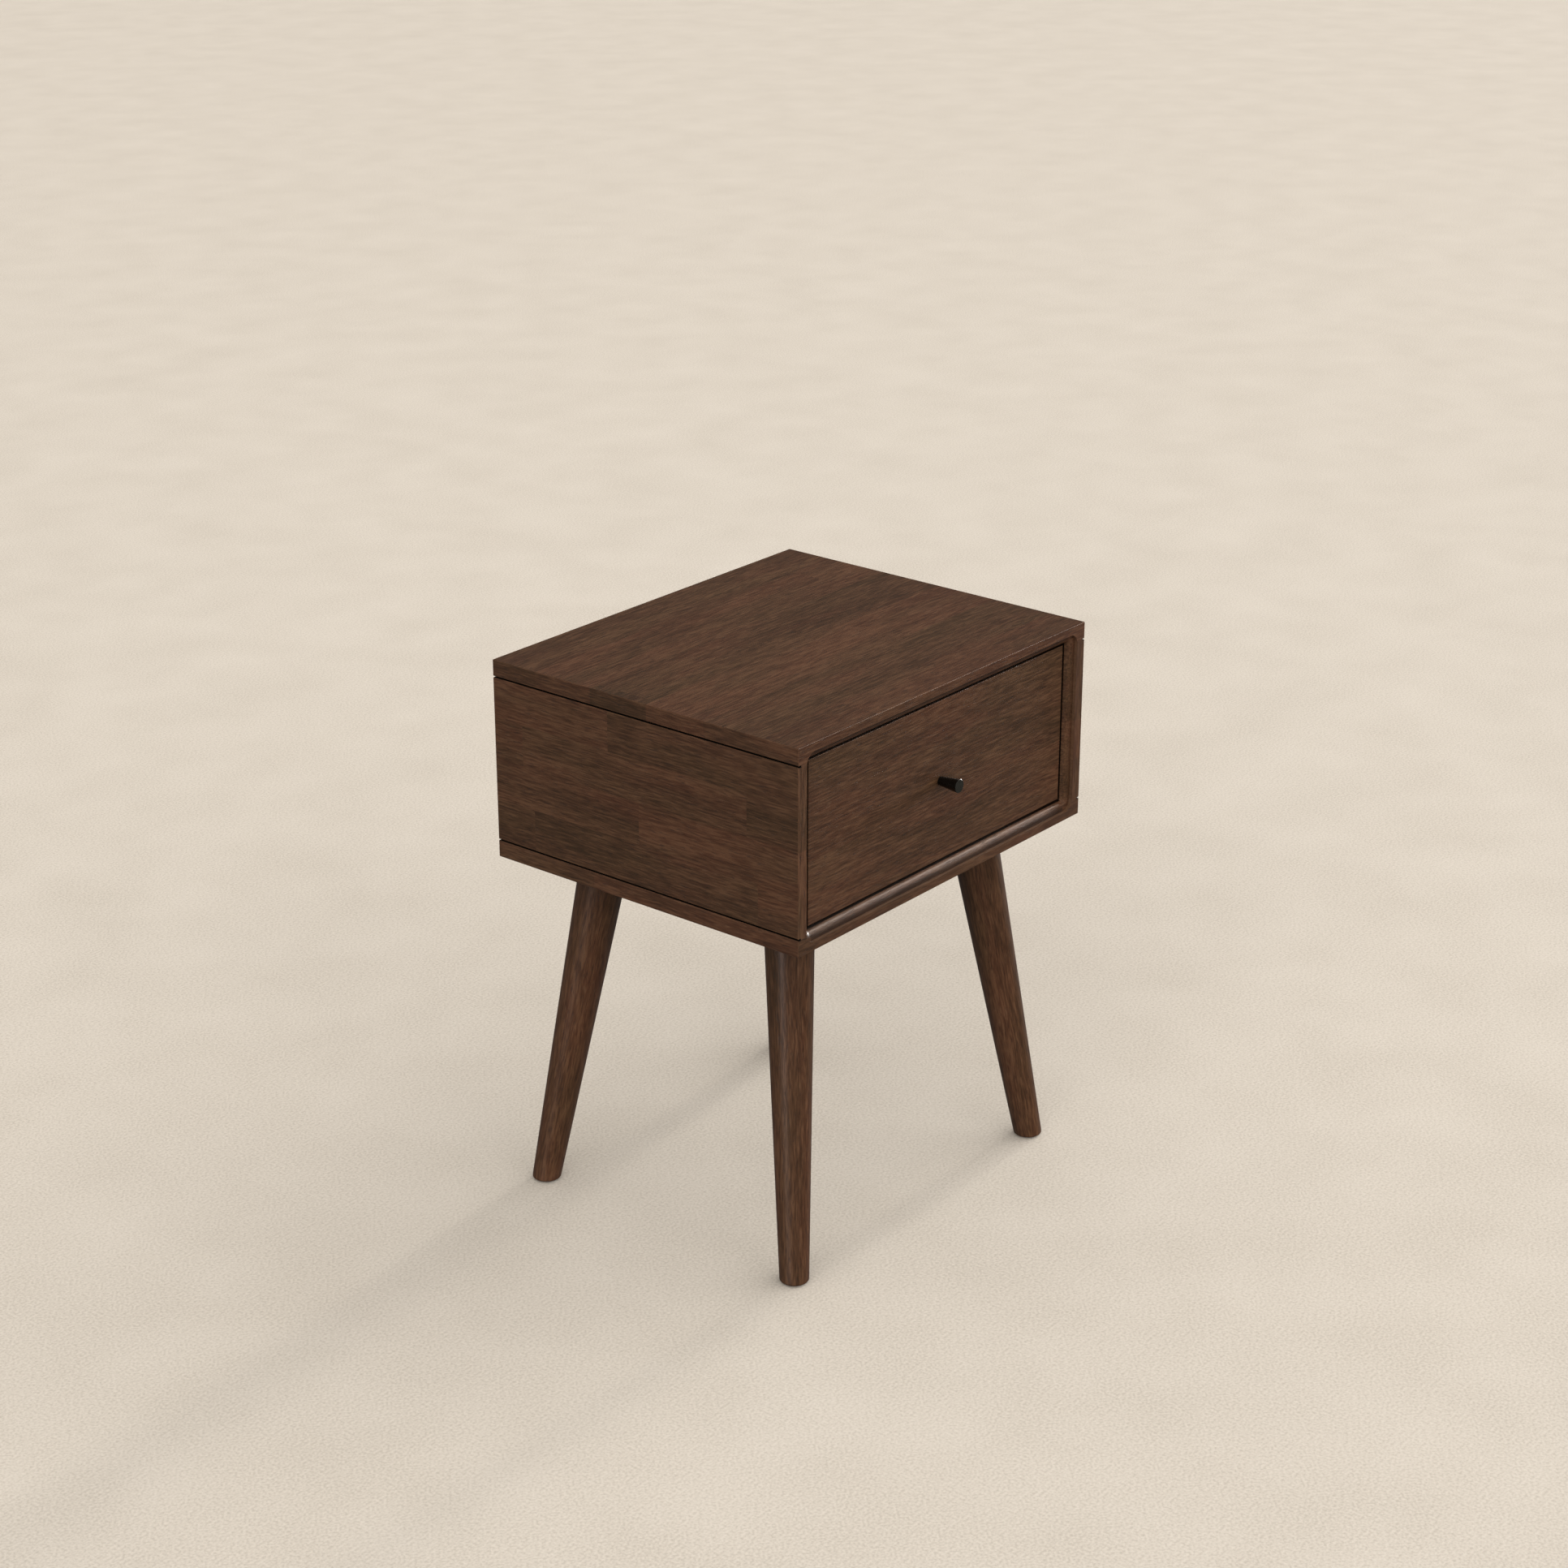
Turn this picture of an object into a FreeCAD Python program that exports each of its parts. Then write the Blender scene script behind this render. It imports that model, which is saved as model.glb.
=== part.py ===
import FreeCAD, Part
import math
import os
import re

import Sketcher
from FreeCAD import Placement, Rotation, Vector

# Side table with one drawer: a wooden cabinet with a moulded mouth on four splayed round legs.
# Millimetres.  X runs to the right seen from the front, Y towards the back, Z up.
# The table's own origin is on the floor, in the middle of its overall length and width.
# Cabinet pieces are drawn in the cabinet frame: X = 0 at mid width, Y = 0 on the front plane and
# Z = 0 on the underside of the cabinet.

SIZES = {
    # cabinet
    "cabinet_width": 500.0,
    "cabinet_depth": 418.0,
    "cabinet_height": 227.0,
    "slab_thickness": 19.5,
    "side_thickness": 23.6,
    "groove_width": 1.5,
    "groove_depth": 4.0,
    "groove_chamfer": 1.0,
    "board_edge": 0.6,
    # moulded mouth: a small fillet, then a quarter round that runs back to the opening
    "mould_width": 10.0,
    "mould_depth": 10.3,
    "mould_fillet": 4.0,
    "mouth_corner_radius": 12.5,
    # back panel
    "rebate_width": 9.0,
    "rebate_depth": 6.5,
    "back_thickness": 6.0,
    "back_play": 0.5,
    # legs
    "leg_height": 400.0,
    "leg_top_radius": 27.5,
    "leg_foot_radius": 16.0,
    "leg_top_x": 160.6,
    "leg_foot_x": 216.5,
    "leg_top_y": 128.3,
    "leg_foot_y": 181.4,
    "leg_set_back": 3.9,
    "leg_spare": 10.0,
    "foot_rounding": 2.5,
    "glide_radius": 10.0,
    "glide_height": 2.0,
    # drawer
    "face_recess": 9.4,
    "face_inset": 27.6,
    "face_bottom": 23.3,
    "face_top_gap": 22.1,
    "face_thickness": 19.0,
    "face_edge": 0.8,
    "box_board": 12.0,
    "box_height": 140.0,
    "box_bottom_height": 38.0,
    "box_length": 355.0,
    "tray_thickness": 6.0,
    "tray_height": 10.0,
    "tray_groove": 6.0,
    "tray_play": 0.4,
    # knob
    "knob_length": 25.4,
    "knob_tip_radius": 7.6,
    "knob_base_radius": 4.9,
    "knob_edge": 0.5,
    "knob_bore": 12.0,
    # telescopic slides
    "slide_thickness": 12.7,
    "slide_height": 45.0,
    "slide_length": 350.0,
    "slide_set_back": 3.0,
    "slide_sheet": 1.2,
    "flange_tip": 10.3,
    "lip_half": 17.6,
    "middle_member_web": 2.8,
    "middle_member_half": 16.0,
    "drawer_member_tip": 6.2,
    "drawer_member_half": 10.9,
    "cage_length": 165.0,
    "cage_sheet": 0.6,
    "outer_cage_web": 1.7,
    "outer_cage_tip": 8.5,
    "outer_cage_half": 18.95,
    "outer_ball_out": 5.4,
    "outer_ball_radius": 2.35,
    "inner_cage_web": 4.5,
    "inner_cage_tip": 10.0,
    "inner_cage_half": 13.15,
    "inner_ball_out": 8.0,
    "inner_ball_radius": 1.65,
    "first_ball": 20.0,
    "ball_pitch": 25.0,
    "ball_play": 0.1,
    # fasteners
    "dowel_radius": 4.0,
    "dowel_length": 30.0,
    "dowel_chamfer": 1.0,
    "dowel_inset": 60.0,
    "dowel_in_slab": 12.0,
    "box_dowel_radius": 3.0,
    "box_dowel_length": 28.0,
    "box_dowel_rise": 42.0,
    "box_dowel_in_side": 8.0,
    "bolt_radius": 4.0,
    "bolt_in_leg": 45.0,
    "bolt_point": 6.0,
    "nut_radius": 6.0,
    "nut_length": 13.0,
    "nail_radius": 1.2,
    "nail_length": 14.0,
    "nail_head_radius": 3.0,
    "nail_head_height": 1.0,
    "screw_radius": 1.75,
    "screw_point": 3.0,
    "screw_head_radius": 3.5,
    "screw_head_height": 1.9,
    "recess_width": 0.9,
    "recess_span": 3.4,
    "recess_depth": 0.9,
    "back_screw_length": 16.0,
    "back_screw_inset": 20.0,
    "slide_screw_length": 11.0,
    "slide_head_radius": 3.2,
    "front_screw_length": 26.0,
    "front_screw_inset": 40.0,
    "front_screw_rise": 45.0,
    "front_head_rim": 1.2,
    "front_head_height": 2.2,
    "knob_screw_radius": 2.0,
    "knob_screw_length": 40.0,
    "knob_screw_play": 0.25,
    "knob_head_radius": 4.2,
    "knob_head_rim": 1.2,
    "knob_head_height": 2.6,
    "head_top_radius": 2.2,
    "hole_spare": 1.0,
    "fit": 0.05,
}

DERIVED = {
    "half_width": "cabinet_width / 2",
    "side_inner_x": "half_width - side_thickness",
    "joint_x": "half_width - side_thickness / 2",
    "top_underside": "cabinet_height - slab_thickness",
    "back_face_y": "cabinet_depth - rebate_depth + back_thickness",
    "knob_proud": "knob_length - face_recess",
    "front_y": "-(cabinet_depth - knob_proud) / 2",
    "cabinet_z": "leg_height + glide_height",
    "leg_middle_y": "cabinet_depth / 2 + leg_set_back",
    "leg_run": "sqrt(leg_height ^ 2 + (leg_foot_x - leg_top_x) ^ 2 + (leg_foot_y - leg_top_y) ^ 2)",
    "leg_taper": "(leg_top_radius - leg_foot_radius) / leg_run",
    "face_back_y": "face_recess + face_thickness",
    "face_half_width": "half_width - face_inset",
    "face_top": "cabinet_height - face_top_gap",
    "face_middle_z": "(face_top + face_bottom) / 2",
    "box_half_width": "side_inner_x - slide_thickness",
    "box_inner_x": "box_half_width - box_board",
    "box_back_y": "face_back_y + box_length",
    "box_top": "box_bottom_height + box_height",
    "tray_bottom": "box_bottom_height + tray_height",
    "slide_front_y": "face_back_y + slide_set_back",
    "slide_middle_z": "box_bottom_height + box_height / 2",
    "cage_front_y": "slide_front_y + (slide_length - cage_length) / 2",
}

# Places of what repeats, as expressions of the sizes.
SIDES = {"-": -1, "": 1}
DOWEL_PLACES = ("dowel_inset", "cabinet_depth / 2", "cabinet_depth - dowel_inset")
BOX_DOWEL_HEIGHTS = ("slide_middle_z - box_dowel_rise", "slide_middle_z",
                     "slide_middle_z + box_dowel_rise")
BOX_DOWEL_PLACES = ("face_back_y + box_board / 2", "box_back_y - box_board / 2")
FRONT_SCREWS = [(f"{side}(box_inner_x - front_screw_inset)", f"slide_middle_z {up} front_screw_rise")
                for side in SIDES for up in "-+"]
SLIDE_SCREW_PLACES = [f"slide_front_y + {step}" for step in (35, 170, 320)]
BALLS_PER_ARM = 6

# Which way each leg leans: left or right, front or back.
LEGS = {
    "front_left_leg": (-1, -1),
    "front_right_leg": (1, -1),
    "back_left_leg": (-1, 1),
    "back_right_leg": (1, 1),
}

doc = FreeCAD.newDocument("side_table")
sheet = doc.addObject("Spreadsheet::Sheet", "Dim")
derived = doc.addObject("App::VarSet", "Derived")
made = {}


def bound(text):
    """Expression text in which every size name points at its spreadsheet cell or derived value."""
    def point(match):
        name = match.group()
        if name == "sqrt":
            return name
        if name in SIZES:
            return "Dim." + name
        return "Derived." + name
    return re.sub(r"[a-z][a-z_]+", point, text)


def fill_sheet():
    for row, (name, value) in enumerate(SIZES.items(), start=1):
        sheet.set(f"A{row}", name)
        sheet.set(f"B{row}", str(value))
        sheet.setAlias(f"B{row}", name)
    doc.recompute()
    for name, text in DERIVED.items():
        derived.addProperty("App::PropertyFloat", name)
        derived.setExpression(name, bound(text))
    doc.recompute()


def size(text):
    """The value, in millimetres, of a size name or of an expression of sizes."""
    if text in SIZES:
        return float(sheet.get(text))
    return float(derived.evalExpression(bound(text)))


def bind(feature, **properties):
    """Tie properties such as Length or Placement_Base_z to expressions of the sizes."""
    for path, text in properties.items():
        feature.setExpression(path.replace("_", "."), bound(text))


# ---- sketches and bodies ----

def new_body(label):
    body = doc.addObject("PartDesign::Body", label)
    body.Label = label
    return body


def new_sketch(body, role, offset):
    """Sketch on one of the body's own origin planes, moved along that plane's normal."""
    plane = next(item for item in body.Origin.OriginFeatures if item.Role == role)
    sketch = body.newObject("Sketcher::SketchObject", body.Name + "_sketch")
    sketch.AttachmentSupport = [(plane, "")]
    sketch.MapMode = "FlatFace"
    bind(sketch, AttachmentOffset_Base_z=offset)
    return sketch


def hold_point(sketch, element, end, across, along):
    """Hold one end of an element at bound distances from the sketch's origin."""
    for kind, text in (("DistanceX", across), ("DistanceY", along)):
        index = sketch.addConstraint(Sketcher.Constraint(kind, -1, 1, element, end, 1.0))
        sketch.setExpression(f"Constraints[{index}]", bound(text))


def draw_polygon(sketch, corners):
    """Closed outline of straight sides.  The constraints carry each corner to its place."""
    first = sketch.GeometryCount
    count = len(corners)
    rough = [Vector(math.cos(2 * math.pi * i / count), math.sin(2 * math.pi * i / count), 0)
             for i in range(count)]
    for i in range(count):
        sketch.addGeometry(Part.LineSegment(rough[i], rough[(i + 1) % count]), False)
    for i in range(count):
        following = first + (i + 1) % count
        sketch.addConstraint(Sketcher.Constraint("Coincident", first + i, 2, following, 1))
        hold_point(sketch, first + i, 1, *corners[i])


def draw_circles(sketch, centres, radius):
    for across, along in centres:
        circle = sketch.addGeometry(Part.Circle(Vector(0, 0, 0), Vector(0, 0, 1), 1.0), False)
        index = sketch.addConstraint(Sketcher.Constraint("Radius", circle, 1.0))
        sketch.setExpression(f"Constraints[{index}]", bound(radius))
        hold_point(sketch, circle, 3, across, along)


def pad(body, sketch, length, backwards=False):
    feature = body.newObject("PartDesign::Pad", body.Name + "_pad")
    feature.Profile = sketch
    feature.Reversed = backwards
    bind(feature, Length=length)
    doc.recompute()
    return feature


def pocket(body, sketch, length, backwards=False):
    """Cut a sketch into the body, and make sure that it really took material away."""
    before = body.Shape.Volume
    feature = body.newObject("PartDesign::Pocket", body.Name + "_pocket")
    feature.Profile = sketch
    feature.Reversed = backwards
    bind(feature, Length=length)
    doc.recompute()
    if not body.Shape.Volume < before - 0.1:
        raise RuntimeError(f"a pocket in {body.Label} cuts nothing")
    return feature


def block(label, x_from, x_to, y_from, y_to, z_from, z_to):
    """Board padded upwards from a rectangle, given by the expressions of its six faces."""
    body = new_body(label)
    sketch = new_sketch(body, "XY_Plane", z_from)
    draw_polygon(sketch, [(x_from, y_from), (x_to, y_from), (x_to, y_to), (x_from, y_to)])
    pad(body, sketch, f"({z_to}) - ({z_from})")
    return body


def drill(body, role, offset, centres, radius, depth, backwards=False):
    sketch = new_sketch(body, role, offset)
    draw_circles(sketch, centres, radius)
    pocket(body, sketch, depth, backwards)


def revolve(label, corners):
    """Piece turned about its own Z axis from a half section of (radius, height) corners."""
    body = new_body(label)
    sketch = new_sketch(body, "XZ_Plane", "0")
    draw_polygon(sketch, corners)
    feature = body.newObject("PartDesign::Revolution", body.Name + "_turning")
    feature.Profile = sketch
    feature.ReferenceAxis = (sketch, ["V_Axis"])
    feature.Angle = 360
    doc.recompute()
    return body


# ---- placing and keeping ----

def in_cabinet(x=0.0, y=0.0, z=0.0):
    """A point of the cabinet frame, in the table's own frame."""
    return Vector(x, y + size("front_y"), z + size("cabinet_z"))


def place_in_cabinet(feature):
    bind(feature, Placement_Base_y="front_y", Placement_Base_z="cabinet_z")


def keep(name, feature):
    """Name a finished sub-part and remember it for the checks and the files."""
    feature.Label = name
    made[name] = feature
    return feature


def cut(name, base, tool):
    feature = doc.addObject("Part::Cut", name)
    feature.Base = base
    feature.Tool = tool
    doc.recompute()
    if not feature.Shape.Volume < base.Shape.Volume - 0.1:
        raise RuntimeError(f"{name} is not cut")
    return feature


def solid_feature(name, shape, placement=None):
    feature = doc.addObject("Part::Feature", name)
    feature.Shape = shape
    feature.Placement = placement or Placement()
    return feature


def group(name, pattern, placements):
    """Identical small pieces in one node: a copy of the pattern body at each placement."""
    copies = [pattern.Shape.transformed(where.toMatrix(), True) for where in placements]
    return keep(name, solid_feature(name, Part.makeCompound(copies)))


UP = Rotation()
TO_FRONT = Rotation(Vector(0, 0, 1), Vector(0, -1, 0))
TO_RIGHT = Rotation(Vector(0, 0, 1), Vector(1, 0, 0))
TO_LEFT = Rotation(Vector(0, 0, 1), Vector(-1, 0, 0))


# ---- fastener patterns, each standing on Z = 0 and pointing up ----

def dowel_pattern(label, radius, length):
    """Beech dowel with chamfered ends, centred on the origin."""
    end = f"({length}) / 2"
    return revolve(label, [
        ("0", f"-{end}"), (f"{radius} - dowel_chamfer", f"-{end}"),
        (radius, f"-{end} + dowel_chamfer"), (radius, f"{end} - dowel_chamfer"),
        (f"{radius} - dowel_chamfer", end), ("0", end),
    ])


def cross_recess(name, screw, head_z):
    """Cut a cross recess for the screwdriver into a head whose face lies at the height head_z."""
    arms = []
    for length, width in (("recess_span", "recess_width"), ("recess_width", "recess_span")):
        arm = doc.addObject("Part::Box", name + "_arm")
        bind(arm, Length=length, Width=width, Height="recess_depth + hole_spare",
             Placement_Base_x=f"-{length} / 2", Placement_Base_y=f"-{width} / 2",
             Placement_Base_z=f"{head_z} - hole_spare")
        arms.append(arm)
    cross = doc.addObject("Part::MultiFuse", name + "_cross")
    cross.Shapes = arms
    doc.recompute()
    return cut(name, screw, cross)


def screw_pattern(label, length):
    """Countersunk wood screw: head face on Z = 0, point upwards."""
    turned = revolve(label + "_turned", [
        ("0", "0"), ("screw_head_radius", "0"), ("screw_radius", "screw_head_height"),
        ("screw_radius", f"{length} - screw_point"), ("0", length),
    ])
    return cross_recess(label, turned, "0")


def slide_screw_pattern():
    """Flat-headed screw, its head as thick as the slide's sheet."""
    turned = revolve("slide_screw_turned", [
        ("0", "0"), ("slide_head_radius", "0"), ("screw_radius", "slide_sheet"),
        ("screw_radius", "slide_screw_length - screw_point"), ("0", "slide_screw_length"),
    ])
    return cross_recess("slide_screw", turned, "0")


# ---- cabinet ----

def mouth_cutter():
    """What the moulding takes off round the mouth: the air in front of a fillet and quarter round.

    Its section is extruded along the four straight runs and turned round the four corners.
    """
    width = size("mould_width")
    depth = size("mould_depth")
    fillet = size("mould_fillet")
    radius = size("mouth_corner_radius")
    reach = width + 1.0
    clear = -1.0
    half_x = size("side_inner_x") + width - radius
    low_z = size("slab_thickness") - width + radius
    high_z = size("cabinet_height") - low_z
    middle_z = size("cabinet_height") / 2

    def section(x, z, outward):
        """Face across the moulding; outward points from the opening to the outline."""
        def at(inset, back):
            return Vector(x, back, z) + outward * (radius - inset)
        theta = math.pi / 4
        bulge = at(width * math.sin(theta), depth - (depth - fillet) * math.cos(theta))
        edges = [
            Part.LineSegment(at(0, clear), at(0, fillet)).toShape(),
            Part.Arc(at(0, fillet), bulge, at(width, depth)).toShape(),
            Part.LineSegment(at(width, depth), at(reach, depth)).toShape(),
            Part.LineSegment(at(reach, depth), at(reach, clear)).toShape(),
            Part.LineSegment(at(reach, clear), at(0, clear)).toShape(),
        ]
        return Part.Face(Part.Wire(edges))

    pieces = []
    for side in (-1, 1):
        upright = section(side * half_x, low_z, Vector(side, 0, 0))
        pieces.append(upright.extrude(Vector(0, 0, high_z - low_z)))
        for z, up in ((low_z, -1), (high_z, 1)):
            corner = section(side * half_x, z, Vector(side, 0, 0))
            turn = -90 * side * up
            pieces.append(corner.revolve(Vector(side * half_x, 0, z), Vector(0, 1, 0), turn))
    for z, up in ((low_z, -1), (high_z, 1)):
        level = section(-half_x, z, Vector(0, 0, up))
        pieces.append(level.extrude(Vector(2 * half_x, 0, 0)))
    ring = pieces[0].multiFuse(pieces[1:]).removeSplitter()
    return solid_feature("mouth_cutter", ring, Placement(in_cabinet(), UP))


def groove_cutters():
    """Shadow grooves with chamfered lips along the outside of the four slab and side joints."""
    cutters = []
    for side in SIDES:
        for joint in ("slab_thickness", "top_underside"):
            body = new_body("groove_cutter")
            sketch = new_sketch(body, "XZ_Plane", "1")
            floor = f"{side}(half_width - groove_depth)"
            lip = f"{side}(half_width - groove_chamfer)"
            outside = f"{side}(half_width + 1)"
            narrow = "groove_width / 2"
            wide = "(groove_width / 2 + groove_chamfer + 1)"
            draw_polygon(sketch, [
                (floor, f"{joint} - {narrow}"),
                (lip, f"{joint} - {narrow}"),
                (outside, f"{joint} - {wide}"),
                (outside, f"{joint} + {wide}"),
                (lip, f"{joint} + {narrow}"),
                (floor, f"{joint} + {narrow}"),
            ])
            pad(body, sketch, "cabinet_depth + 2", backwards=True)
            place_in_cabinet(body)
            cutters.append(body)
    return cutters


def rebate_cutter():
    """Rebate round the back of the opening, in which the back panel lies."""
    across = "side_inner_x + rebate_width"
    body = block("rebate_cutter", f"-({across})", across,
                 "cabinet_depth - rebate_depth", "cabinet_depth + 1",
                 "slab_thickness - rebate_width", "top_underside + rebate_width")
    place_in_cabinet(body)
    return body


def rounded_envelope():
    """The cabinet's whole outline with its arrises slightly eased; each board is trimmed to it."""
    outline = doc.addObject("Part::Box", "outline")
    bind(outline, Length="cabinet_width", Width="cabinet_depth", Height="cabinet_height",
         Placement_Base_x="-half_width")
    place_in_cabinet(outline)
    doc.recompute()
    eased = doc.addObject("Part::Fillet", "eased_outline")
    eased.Base = outline
    radius = size("board_edge")
    eased.Edges = [(number, radius, radius) for number in range(1, len(outline.Shape.Edges) + 1)]
    doc.recompute()
    return eased


def trim(name, board, envelope):
    trimmed = doc.addObject("Part::Common", name)
    trimmed.Base = board
    trimmed.Tool = envelope
    doc.recompute()
    return trimmed


def dowel_centres(side):
    return [(f"{side}joint_x", y) for y in DOWEL_PLACES]


def back_screw_points():
    """Centres of the back panel's screws: along the four edges of the rebate."""
    edge_x = size("side_inner_x") + size("rebate_width") / 2
    low = size("slab_thickness") - size("rebate_width") / 2
    high = size("cabinet_height") - low
    end_x = edge_x - size("back_screw_inset")
    rows = [(x, z) for z in (low, high) for x in (-end_x, 0, end_x)]
    columns = [(x, size("cabinet_height") / 2) for x in (-edge_x, edge_x)]
    return rows + columns


def back_screw_cylinders(depth):
    """Round cutters that run forwards from the back panel's outer face, one for each screw."""
    radius = size("screw_radius + fit")
    return [Part.makeCylinder(radius, depth, in_cabinet(x, size("back_face_y"), z), Vector(0, -1, 0))
            for x, z in back_screw_points()]


def cabinet_boards():
    """The four boards of the carcass, drilled, then cut by the moulding, grooves and rebate."""
    depth_range = ("0", "cabinet_depth")
    top = block("top_board", "-half_width", "half_width", *depth_range,
                "top_underside", "cabinet_height")
    bottom = block("bottom_board", "-half_width", "half_width", *depth_range,
                   "0", "slab_thickness")
    hole = "dowel_radius + fit"
    both = dowel_centres("-") + dowel_centres("")
    drill(top, "XY_Plane", "top_underside", both, hole, "dowel_in_slab", backwards=True)
    drill(bottom, "XY_Plane", "slab_thickness", both, hole, "dowel_in_slab")
    nuts = [(f"{side}leg_top_x", f"leg_middle_y {rear} leg_top_y") for side in SIDES for rear in "-+"]
    drill(bottom, "XY_Plane", "0", nuts, "nut_radius + fit", "nut_length + hole_spare / 2",
          backwards=True)
    sides = []
    for label, side in (("left_side_board", "-"), ("right_side_board", "")):
        board = block(label, f"{side}half_width", f"{side}side_inner_x", *depth_range,
                      "slab_thickness", "top_underside")
        in_side = "dowel_length - dowel_in_slab + hole_spare"
        centres = dowel_centres(side)
        drill(board, "XY_Plane", "slab_thickness", centres, hole, in_side, backwards=True)
        drill(board, "XY_Plane", "top_underside", centres, hole, in_side)
        screws = [(y, "slide_middle_z") for y in SLIDE_SCREW_PLACES]
        drill(board, "YZ_Plane", f"{side}side_inner_x", screws, "screw_radius + fit",
              "slide_screw_length", backwards=side == "")
        sides.append(board)
    cutters = [mouth_cutter(), rebate_cutter()] + groove_cutters()
    pilots = back_screw_cylinders(size("back_screw_length + hole_spare"))
    cutters.append(solid_feature("back_pilots", Part.makeCompound(pilots)))
    tool = doc.addObject("Part::MultiFuse", "carcass_cutter")
    tool.Shapes = cutters
    envelope = rounded_envelope()
    names = ("top_panel", "bottom_panel", "left_side_panel", "right_side_panel")
    for name, board in zip(names, [top, bottom] + sides):
        place_in_cabinet(board)
        doc.recompute()
        shaped = cut(name + "_shaped", board, tool)
        keep(name, trim(name, shaped, envelope))


def back_panel():
    half = "(side_inner_x + rebate_width - back_play)"
    panel = block("back_board", f"-{half}", half,
                  "cabinet_depth - rebate_depth", "back_face_y",
                  "slab_thickness - rebate_width + back_play",
                  "top_underside + rebate_width - back_play")
    place_in_cabinet(panel)
    doc.recompute()
    places = [in_cabinet(x, size("back_face_y"), z) for x, z in back_screw_points()]
    holes = back_screw_cylinders(size("back_thickness + hole_spare"))
    for place in places:
        holes.append(Part.makeCone(size("screw_head_radius + fit"), size("screw_radius + fit"),
                                   size("screw_head_height"), place, Vector(0, -1, 0)))
    tool = solid_feature("back_screw_holes", holes[0].multiFuse(holes[1:]))
    keep("back_panel", cut("back_panel", panel, tool))
    screw = screw_pattern("back_screw", "back_screw_length")
    group("back_panel_screws", screw, [Placement(place, TO_FRONT) for place in places])


def carcass_dowels():
    pattern = dowel_pattern("carcass_dowel_pattern", "dowel_radius", "dowel_length")
    heights = ("slab_thickness + dowel_length / 2 - dowel_in_slab",
               "top_underside - dowel_length / 2 + dowel_in_slab")
    group("carcass_dowels", pattern,
          [Placement(in_cabinet(size(x), size(y), size(z)), UP)
           for side in SIDES for z in heights for x, y in dowel_centres(side)])


# ---- legs ----

def leg_ends(side, rear):
    """Centres of a leg's foot and top, in the table's frame."""
    middle_y = size("front_y") + size("leg_middle_y")
    foot = Vector(side * size("leg_foot_x"), middle_y + rear * size("leg_foot_y"),
                  size("glide_height"))
    top = Vector(side * size("leg_top_x"), middle_y + rear * size("leg_top_y"),
                 size("cabinet_z"))
    return foot, top


def leg(name, side, rear):
    """Tapered round leg, splayed both ways, its ends sawn level and its foot edge rounded.

    The cone runs on past both ends by leg_spare, and a level band as high as the leg trims it.
    """
    foot, top = leg_ends(side, rear)
    axis = (top - foot).normalize()
    cone = doc.addObject("Part::Cone", name + "_cone")
    bind(cone, Height="leg_run + 2 * leg_spare", Radius1="leg_foot_radius - leg_taper * leg_spare",
         Radius2="leg_top_radius + leg_taper * leg_spare")
    cone.Placement = Placement(foot - axis * size("leg_spare"), Rotation(Vector(0, 0, 1), axis))
    band = doc.addObject("Part::Box", name + "_band")
    reach = 120.0
    band.Length = 2 * reach
    band.Width = 2 * reach
    middle = (foot + top) * 0.5
    band.Placement.Base = Vector(middle.x - reach, middle.y - reach, 0)
    bind(band, Height="leg_height", Placement_Base_z="glide_height")
    sawn = doc.addObject("Part::Common", name + "_sawn")
    sawn.Base = cone
    sawn.Tool = band
    doc.recompute()
    rounded = doc.addObject("Part::Fillet", name + "_rounded")
    rounded.Base = sawn
    rounding = size("foot_rounding")
    foot_edge = next(index for index, edge in enumerate(sawn.Shape.Edges, start=1)
                     if edge.BoundBox.ZMax < foot.z + 0.01 and edge.BoundBox.XLength > rounding)
    rounded.Edges = [(foot_edge, rounding, rounding)]
    doc.recompute()
    bolt = Part.makeCylinder(size("bolt_radius + fit"), size("bolt_in_leg + hole_spare"), top,
                             Vector(0, 0, -1))
    nail = Part.makeCylinder(size("nail_radius + fit"), size("nail_length + hole_spare"), foot,
                             Vector(0, 0, 1))
    holes = solid_feature(name + "_holes", Part.makeCompound([bolt, nail]))
    keep(name, cut(name, rounded, holes))


def leg_fasteners():
    ends = [leg_ends(*corner) for corner in LEGS.values()]
    nut = revolve("insert_nut_pattern", [
        ("bolt_radius + fit", "0"), ("nut_radius", "0"), ("nut_radius", "nut_length"),
        ("bolt_radius + fit", "nut_length"),
    ])
    group("leg_insert_nuts", nut, [Placement(top, UP) for foot, top in ends])
    upper = "nut_length - hole_spare"
    bolt = revolve("hanger_bolt_pattern", [
        ("0", "-bolt_in_leg"), ("bolt_radius", "-bolt_in_leg + bolt_point"),
        ("bolt_radius", f"{upper} - dowel_chamfer"), ("bolt_radius - dowel_chamfer", upper),
        ("0", upper),
    ])
    group("leg_hanger_bolts", bolt, [Placement(top, UP) for foot, top in ends])
    pocket_radius = "nail_head_radius + 2 * fit"
    pocket_floor = "-nail_head_height - 2 * fit"
    glide = revolve("glide_pattern", [
        ("0", "-glide_height"), ("glide_radius - board_edge", "-glide_height"),
        ("glide_radius", "-glide_height + board_edge"), ("glide_radius", "0"),
        (pocket_radius, "0"), (pocket_radius, pocket_floor), ("0", pocket_floor),
    ])
    group("leg_glides", glide, [Placement(foot, UP) for foot, top in ends])
    nail = revolve("glide_nail_pattern", [
        ("0", "-nail_head_height"), ("nail_head_radius", "-nail_head_height"),
        ("nail_head_radius", "-2 * fit"), ("nail_radius", "-2 * fit"),
        ("nail_radius", "nail_length - screw_point"), ("0", "nail_length"),
    ])
    group("glide_nails", nail, [Placement(foot, UP) for foot, top in ends])


# ---- drawer ----

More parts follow.
